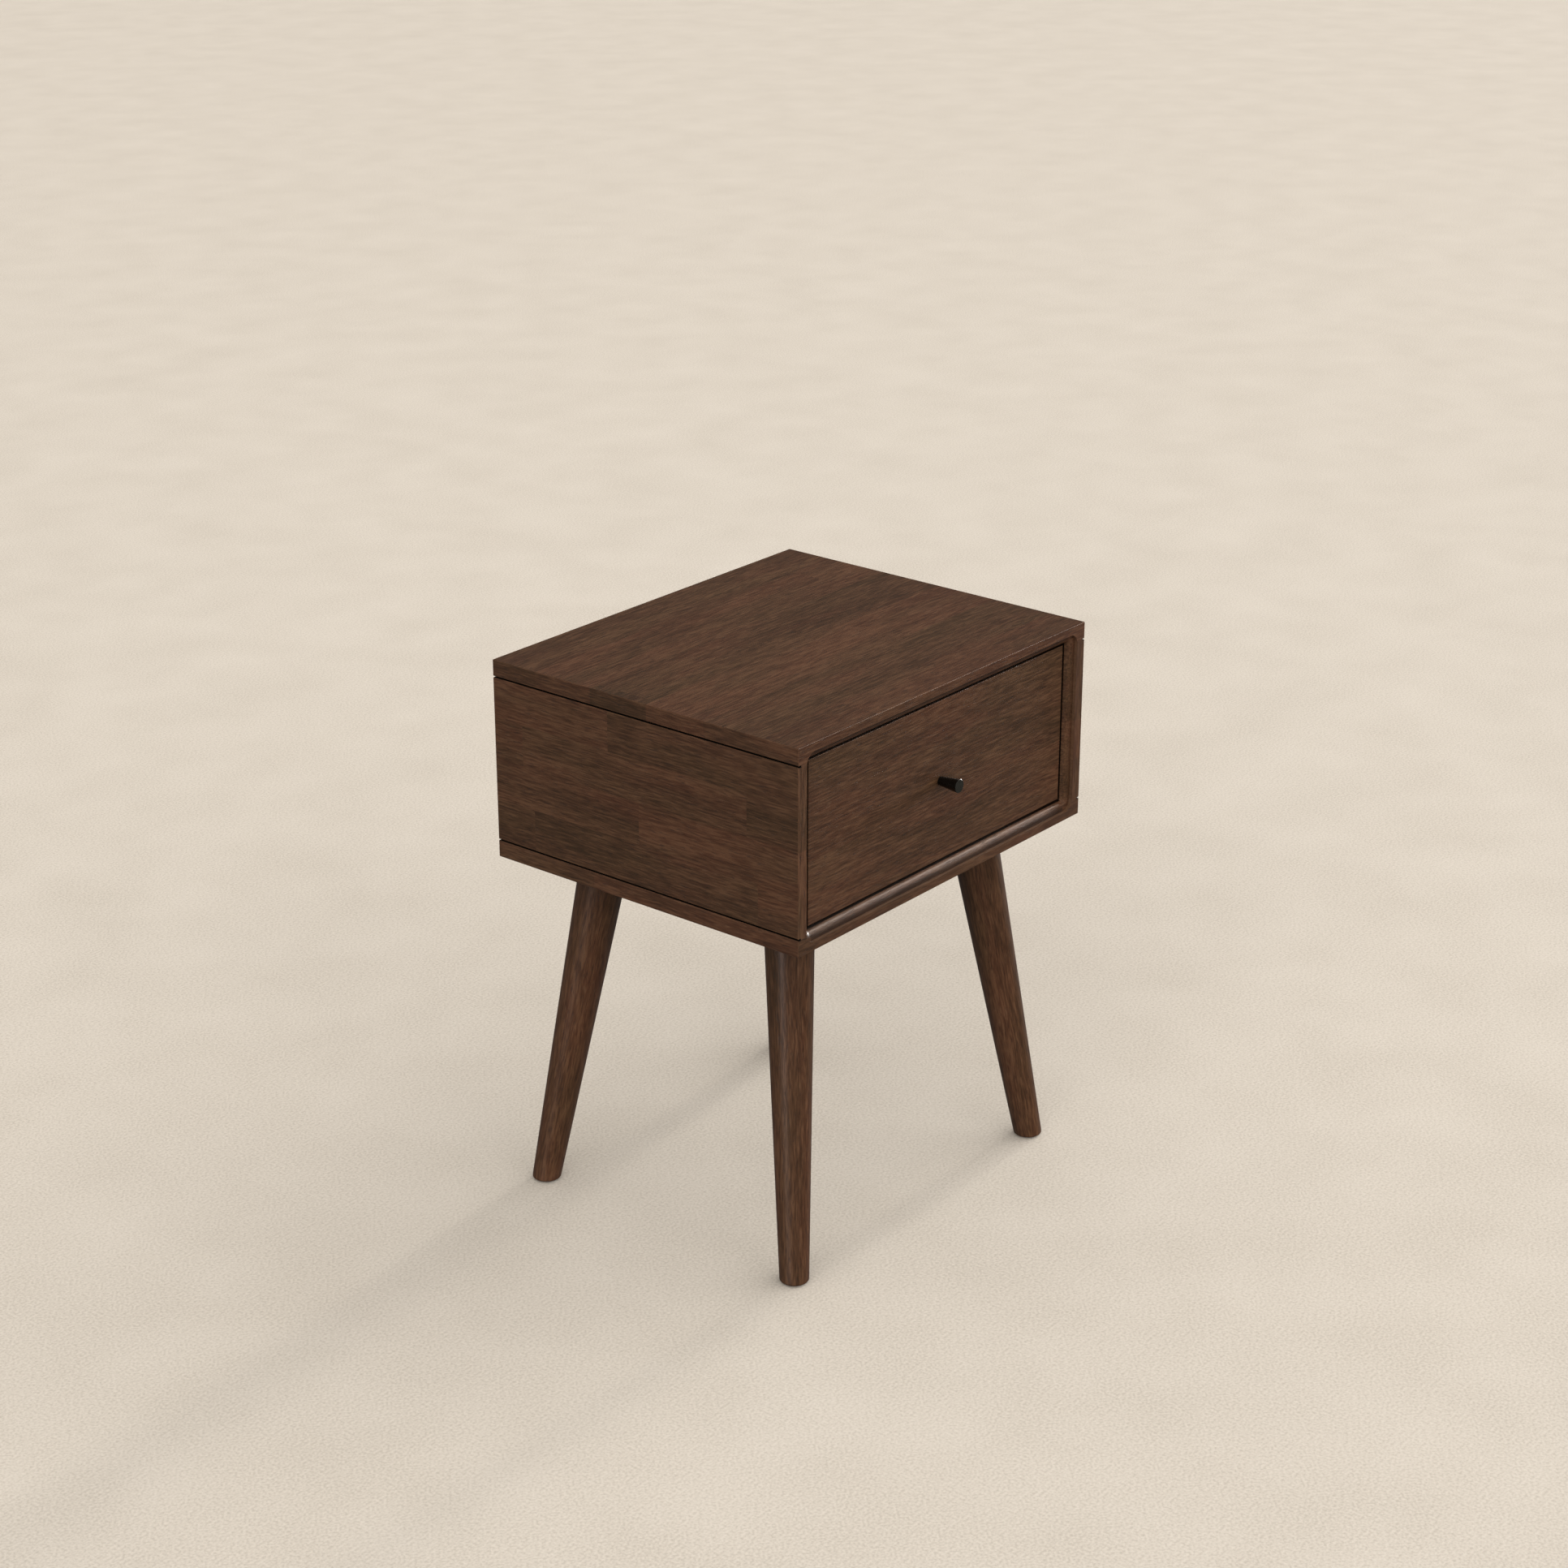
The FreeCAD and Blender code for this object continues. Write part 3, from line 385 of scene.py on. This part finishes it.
def groove_shade_mask(finish):
    """1 inside the shadow grooves between slabs and side panels, where near-black is painted in as
    their shade.
    """
    half_height = 1.2 * MM
    bare_lip = 0.9 * MM
    height = finish.coordinate("Z")
    near = 0.0
    for joint in JOINT_HEIGHTS:
        off = finish.calc("ABSOLUTE", finish.calc("SUBTRACT", height, joint))
        near = finish.either(near, finish.calc("LESS_THAN", off, half_height))
    outer = finish.above("X", OUTER_X - GROOVE_DEPTH - FACE_SKIN, absolute=True)
    inner = finish.below("X", OUTER_X - bare_lip, absolute=True)
    return finish.both(outer, inner, near)


def inside_shade_mask(finish):
    """1 on the faces inside the cabinet, from the back of the moulding: near-black painted shade
    goes there, for the shade inside.
    """
    skin = 0.2 * MM
    low, high = JOINT_HEIGHTS
    return finish.both(finish.above("Y", FRONT_Y + MOULDING_DEPTH + skin),
                       finish.above("Z", low - skin),
                       finish.below("Z", high + skin),
                       finish.below("X", INNER_X + skin, absolute=True))


def moulding_light_masks(finish):
    """Masks for a painted highlight on the ledge round the mouth, and for a painted shade line where
    the round rises from it.
    """
    skin = 0.3 * MM
    front_edge = 0.2 * MM
    line_depth = 1.6 * MM
    low, high = MOUTH_HEIGHTS
    mouth = finish.both(finish.above("Z", low - skin), finish.below("Z", high + skin),
                        finish.below("X", MOUTH_X + skin, absolute=True))
    depth = finish.calc("SUBTRACT", finish.coordinate("Y"), FRONT_Y)
    before_round = finish.calc("LESS_THAN", depth, LEDGE_DEPTH - skin)
    behind_front = finish.calc("GREATER_THAN", depth, front_edge)
    fading = finish.step_up(depth, LEDGE_DEPTH + line_depth, LEDGE_DEPTH)
    ledge_highlight = finish.both(before_round, behind_front, mouth)
    crease_shade = finish.both(fading, finish.inverse(before_round), mouth)
    return ledge_highlight, crease_shade


def case_wood(finish, grain, tone):
    """A case board: walnut, with near-black painted shade inside the cabinet and in the grooves, and
    a painted highlight and painted shade line on the moulding.
    """
    colour = wood(finish, grain, tone, WALNUT, SATIN, painted_shade=inside_shade_mask(finish))
    # Painted highlight on the ledge, and painted shade where the round rises, weaker on the
    # uprights.
    ledge_highlight, crease_shade = moulding_light_masks(finish)
    colour = finish.overlay(colour, ledge_highlight, LEDGE_HIGHLIGHT_SHARE, WALNUT["wear_and_highlight"])
    margin = 2 * MM
    upright = finish.above("X", INNER_X - margin, absolute=True)
    less = CREASE_SHADE_UPRIGHT - CREASE_SHADE_LEVEL
    share = finish.calc("MULTIPLY_ADD", upright, less, CREASE_SHADE_LEVEL)
    colour = finish.overlay(colour, crease_shade, share, WALNUT["pore_and_shade"])
    # Near-black painted shade in the shadow grooves.
    colour = finish.mix(groove_shade_mask(finish), colour, (*GROOVE_SHADE_BLACK, 1))
    finish.colour(colour)


def slab(node, seed):
    """A top or bottom slab: grain along X on its faces and along Y on its two ends."""
    finish = Finish(node)
    face, tone = staves(finish, grain_axes(finish, "XYZ"), SLAB_STAVE, seed,
                        shift=LAST_SLAB_STAVE - BACK_Y)
    end = grain_axes(finish, "YZX")
    on_end = finish.above("X", OUTER_X - FACE_SKIN, absolute=True)
    case_wood(finish, finish.mix_vector(on_end, face, end), tone)
    finish.dress(node)


def side_panel(node, seed):
    """Grain along Y outside and across the moulding, upright on the flat of the front edge."""
    finish = Finish(node)
    outside, tone = staves(finish, grain_axes(finish, "YZX"), SIDE_STAVE, seed)
    upright = grain_axes(finish, "ZXY")
    on_front = finish.below("Y", FRONT_Y + FACE_SKIN)
    case_wood(finish, finish.mix_vector(on_front, outside, upright), tone)
    finish.dress(node)


def drawer_face(node, seed):
    """Grain along X; the four edges behind the eased arris get near-black painted shade, for the
    shade in the gaps round the drawer.
    """
    finish = Finish(node)
    grain, tone = staves(finish, grain_axes(finish, "XZY"), DRAWER_STAVE, seed)
    low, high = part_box(node)
    edge = finish.either(finish.above("X", high.x - EDGE_SKIN, absolute=True),
                         finish.above("Z", high.z - EDGE_SKIN),
                         finish.below("Z", low.z + EDGE_SKIN))
    # Painted shade on the drawer's four edges, for the shade in the gaps round it.
    painted_shade = finish.both(finish.above("Y", low.y + FACE_SKIN), edge)
    wood(finish, grain, tone, WALNUT, SATIN, DRAWER_CONTRAST, painted_shade)
    finish.dress(node)


def board(node, axes, size, palette, rough, seed):
    """A board with one direction of grain and nothing over the wood."""
    finish = Finish(node)
    grain, tone = staves(finish, grain_axes(finish, axes), size, seed)
    wood(finish, grain, tone, palette, rough)
    finish.dress(node)


def birch(nodes, axes, seed):
    for node in nodes:
        board(node, axes, BIRCH_STAVE, BIRCH, BARE_ROUGH, seed)


def rim_middle(points, height):
    """The middle of the points that lie at a height."""
    tolerance = 0.5 * MM
    rim = [p for p in points if abs(p.z - height) < tolerance]
    xs = [p.x for p in rim]
    ys = [p.y for p in rim]
    return Vector(((min(xs) + max(xs)) / 2, (min(ys) + max(ys)) / 2, height))


def leg_axis(node):
    """Unit vector from the middle of a leg's foot to the middle of its top."""
    low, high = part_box(node)
    points = [v.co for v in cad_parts[node].data.vertices]
    return (rim_middle(points, high.z) - rim_middle(points, low.z)).normalized()


def leg(node, seed):
    """Grain along the leg's own axis; the seed moves the pattern, so that no two legs match."""
    finish = Finish(node)
    turn = leg_axis(node).rotation_difference(Vector((1, 0, 0))).to_euler()
    turned = finish.add("Mapping", {"Vector": finish.place(), "Rotation": turn,
                                    "Location": (seed, 0.37 * seed, 0)}).outputs[0]
    tone = layer(finish, turned, LEG_TONE, detail=1)
    wood(finish, turned, tone, WALNUT, LEG_ROUGH, LEG_CONTRAST)
    finish.dress(node)


# ---- Metal and plastic -----------------------------------------------------------------------

# The knob's black, with a paler painted reflection on its tip, and its arrises rubbed paler.
KNOB_BLACK = [(0.35, (0.0012, 0.0014, 0.0012)), (0.65, (0.0026, 0.0030, 0.0026))]
KNOB_TIP_REFLECTION = [(0.35, (0.016, 0.0155, 0.012)), (0.65, (0.022, 0.021, 0.017))]
KNOB_ARRIS = (0.045, 0.048, 0.045)


def steel(name, dark, light, rough, nodes):
    """Plated steel: fine drawn lines along Y, cloudy plating and brighter worn arrises."""
    finish = Finish(name)
    lines = finish.noise(finish.scaled(finish.place(), 900, 60, 900), detail=2)
    clouds = finish.even_noise(repeats=45, detail=3)
    blend = finish.calc("ADD", finish.calc("MULTIPLY", lines, 0.4),
                        finish.calc("MULTIPLY", clouds, 0.6))
    bright = tuple(min(1.0, 1.25 * part) for part in light)
    colour = finish.ramp(blend, [(0.3, dark), (0.7, light)])
    finish.colour(finish.overlay(colour, finish.worn_edge(0.5 * MM), 0.5, bright))
    finish.uneven_roughness(blend, spread=0.25, least=rough - 0.12)
    finish.shader.inputs["Metallic"].default_value = 1.0
    finish.bump(lines, distance=0.03 * MM, strength=0.4)
    finish.dress(*nodes)


def moulded(name, dark, light, rough, grit, rim, nodes):
    """Moulded plastic: fine orange peel, slight clouding and rubbed arrises."""
    finish = Finish(name)
    peel = finish.even_noise(repeats=grit, detail=2)
    clouds = finish.even_noise(repeats=80, detail=2)
    colour = finish.ramp(clouds, [(0.35, dark), (0.65, light)])
    finish.colour(finish.overlay(colour, finish.worn_edge(0.6 * MM), 0.3, rim))
    finish.uneven_roughness(peel, spread=0.2, least=rough - 0.1)
    finish.bump(peel, distance=0.05 * MM, strength=0.3)
    finish.dress(*nodes)


def knob(node):
    """Black coated metal, with a paler painted reflection on the tip."""
    finish = Finish("knob_black")
    peel = finish.even_noise(repeats=2200, detail=2)
    clouds = finish.even_noise(repeats=160, detail=3)
    tip_skin = 0.25 * MM
    # Painted reflection: the tip's face is paler.
    tip_reflection = finish.below("Y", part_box(node)[0].y + tip_skin)
    colour = finish.mix(tip_reflection, finish.ramp(clouds, KNOB_BLACK), finish.ramp(clouds, KNOB_TIP_REFLECTION))
    finish.colour(finish.overlay(colour, finish.worn_edge(0.5 * MM), 0.5, KNOB_ARRIS))
    finish.uneven_roughness(peel, spread=0.16, least=0.18)
    finish.bump(peel, distance=0.04 * MM, strength=0.3)
    finish.dress(node)


def named(*parts):
    """CAD nodes whose names contain all the given parts."""
    return [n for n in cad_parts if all(p in n for p in parts)]


slab("top_panel", 3)
slab("bottom_panel", 11)
side_panel("left_side_panel", 5)
side_panel("right_side_panel", 8)
drawer_face("drawer_front", 2)
for number, corner in enumerate(("front_left", "front_right", "back_left", "back_right")):
    leg(corner + "_leg", seed=1.3 + number)
board("back_panel", "XZY", BACK_STAVE, WALNUT, BACK_ROUGH, seed=21)
birch(["drawer_box_front", "drawer_back"], "XZY", 31)
birch(["drawer_left_side", "drawer_right_side"], "YZX", 41)
birch(["drawer_bottom"], "XYZ", 51)
birch(["carcass_dowels", "drawer_dowels"], "XYZ", 61)
steel("slide_steel", (0.42, 0.43, 0.45), (0.62, 0.63, 0.66), 0.36, named("_slide_", "member"))
steel("zinc_steel", (0.40, 0.40, 0.41), (0.60, 0.60, 0.62), 0.40,
      ["knob_screw", "leg_hanger_bolts", "leg_insert_nuts", "glide_nails"])
steel("screw_steel", (0.26, 0.22, 0.13), (0.42, 0.36, 0.22), 0.38,
      ["back_panel_screws", "drawer_front_screws", "drawer_slide_screws", "slide_cabinet_screws"])
steel("ball_steel", (0.66, 0.67, 0.69), (0.80, 0.81, 0.83), 0.20, named("balls"))
knob("drawer_knob")
moulded("cage_plastic", (0.022, 0.022, 0.023), (0.036, 0.036, 0.037), 0.5, 900,
        (0.1, 0.1, 0.1), named("cage"))
moulded("glide_nylon", (0.07, 0.055, 0.048), (0.11, 0.09, 0.08), 0.55, 700,
        (0.16, 0.14, 0.13), ["leg_glides"])


# ---- Floor, light and camera -----------------------------------------------------------------

FLOOR_HALF = 30.0
FLOOR_MOTTLE = [(0.34, (0.610, 0.556, 0.480)), (0.50, (0.715, 0.660, 0.580)),
                (0.64, (0.780, 0.725, 0.647))]

# The studio round the floor: its colour, and its strength from the ground up to the sky, in
# reflections and where the camera sees it.
STUDIO_COLOUR = (1.0, 0.955, 0.905, 1)
HORIZON = (-0.15, 0.10)
GROUND_STRENGTH = 0.10
SKY_STRENGTH = 0.53
REFLECTED_STRENGTH = 0.09
SEEN_STRENGTH = 0.76

# The camera as fitted to the photograph: its place from the middle of the cabinet, its
# direction, and its lens on a 36 mm wide sensor.
CAMERA_FROM_MIDDLE = Vector((-2.5364, -2.0568, 1.2529))
CAMERA_FORWARD = Vector((0.7193, 0.5871, -0.3715))
LENS_MM = 73.47
SENSOR_MM = 36


def floor_finish():
    """Pale plaster with a faint mottle."""
    finish = Finish("pale_floor")
    broad = finish.even_noise(repeats=7, detail=3)
    fine = finish.even_noise(repeats=330, detail=4)
    grit = finish.even_noise(repeats=260, detail=3)
    mottle = finish.calc("MULTIPLY_ADD", fine, 0.8, finish.calc("MULTIPLY", broad, 0.2))
    finish.colour(finish.ramp(mottle, FLOOR_MOTTLE))
    finish.uneven_roughness(grit, spread=0.1, least=0.8)
    finish.bump(grit, distance=0.4 * MM, strength=0.5)
    return finish.material


def floor():
    """A large floor that neither lights the table nor is reflected in it."""
    corners = [(-FLOOR_HALF, -FLOOR_HALF, 0), (FLOOR_HALF, -FLOOR_HALF, 0),
               (FLOOR_HALF, FLOOR_HALF, 0), (-FLOOR_HALF, FLOOR_HALF, 0)]
    mesh = bpy.data.meshes.new("floor")
    mesh.from_pydata(corners, [], [(0, 1, 2, 3)])
    mesh.materials.append(floor_finish())
    piece = bpy.data.objects.new("floor", mesh)
    piece.visible_glossy = False
    piece.visible_diffuse = False
    bpy.context.scene.collection.objects.link(piece)


def sun(name, towards, strength, spread, colour, glint=False):
    """A distant lamp in the given direction; a glint shows only in reflections, others never do."""
    lamp = bpy.data.lights.new(name, "SUN")
    lamp.energy = strength
    lamp.angle = math.radians(spread)
    lamp.color = colour
    piece = bpy.data.objects.new(name, lamp)
    piece.rotation_euler = Vector(towards).to_track_quat("Z", "Y").to_euler()
    piece.visible_diffuse = not glint
    piece.visible_glossy = glint
    bpy.context.scene.collection.objects.link(piece)


def lights():
    """Broad soft lamps and a low warm key, with narrow glints for the lacquer and the moulding."""
    sun("low_key", (1.0, 0.05, 0.30), 0.65, 5, (1.0, 0.94, 0.86))
    sun("soft_right", (0.72, -0.37, 0.59), 1.05, 60, (1.0, 0.97, 0.93))
    sun("soft_left", (-0.80, -0.35, 0.48), 1.12, 55, (1.0, 0.96, 0.92))
    sun("soft_front", (-0.10, -0.95, 0.32), 1.08, 50, (1.0, 0.96, 0.92))
    sun("moulding_glint", (0.72, -0.28, 0.65), 0.70, 10, (1.0, 0.84, 0.72), glint=True)
    sun("key_glint", (1.0, -0.10, 0.12), 3.0, 16, (1.0, 0.95, 0.92), glint=True)
    sun("left_glint", (-1.0, -0.02, 0.10), 0.7, 5, (1.0, 0.93, 0.92), glint=True)


def studio():
    """A pale sky over a dark ground, dim in reflections, so that dark lacquer stays dark."""
    world = bpy.data.worlds.new("studio")
    world.use_nodes = True
    nodes = world.node_tree.nodes
    links = world.node_tree.links

    def blended(value, low, high, limits=(0.0, 1.0)):
        """low where the value is at the first limit, high at the second."""
        node = nodes.new("ShaderNodeMapRange")
        node.inputs["From Min"].default_value = limits[0]
        node.inputs["From Max"].default_value = limits[1]
        node.inputs["To Max"].default_value = high
        links.new(value, node.inputs["Value"])
        if isinstance(low, bpy.types.NodeSocket):
            links.new(low, node.inputs["To Min"])
        else:
            node.inputs["To Min"].default_value = low
        return node.outputs["Result"]

    towards = nodes.new("ShaderNodeSeparateXYZ")
    links.new(nodes.new("ShaderNodeTexCoord").outputs["Generated"], towards.inputs[0])
    ray = nodes.new("ShaderNodeLightPath").outputs
    strength = blended(towards.outputs["Z"], GROUND_STRENGTH, SKY_STRENGTH, HORIZON)
    strength = blended(ray["Is Glossy Ray"], strength, REFLECTED_STRENGTH)
    strength = blended(ray["Is Camera Ray"], strength, SEEN_STRENGTH)
    background = nodes["Background"]
    background.inputs["Color"].default_value = STUDIO_COLOUR
    links.new(strength, background.inputs["Strength"])
    bpy.context.scene.world = world


def camera():
    """The photograph's viewpoint, placed from the middle of the cabinet."""
    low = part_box("bottom_panel")[0]
    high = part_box("top_panel")[1]
    lens = bpy.data.cameras.new("camera")
    lens.lens = LENS_MM
    lens.sensor_width = SENSOR_MM
    piece = bpy.data.objects.new("camera", lens)
    piece.location = (low + high) / 2 + CAMERA_FROM_MIDDLE
    piece.rotation_euler = (-CAMERA_FORWARD).to_track_quat("Z", "Y").to_euler()
    bpy.context.scene.collection.objects.link(piece)
    bpy.context.scene.camera = piece


floor()
lights()
studio()
camera()
bpy.context.scene.view_settings.view_transform = "Standard"
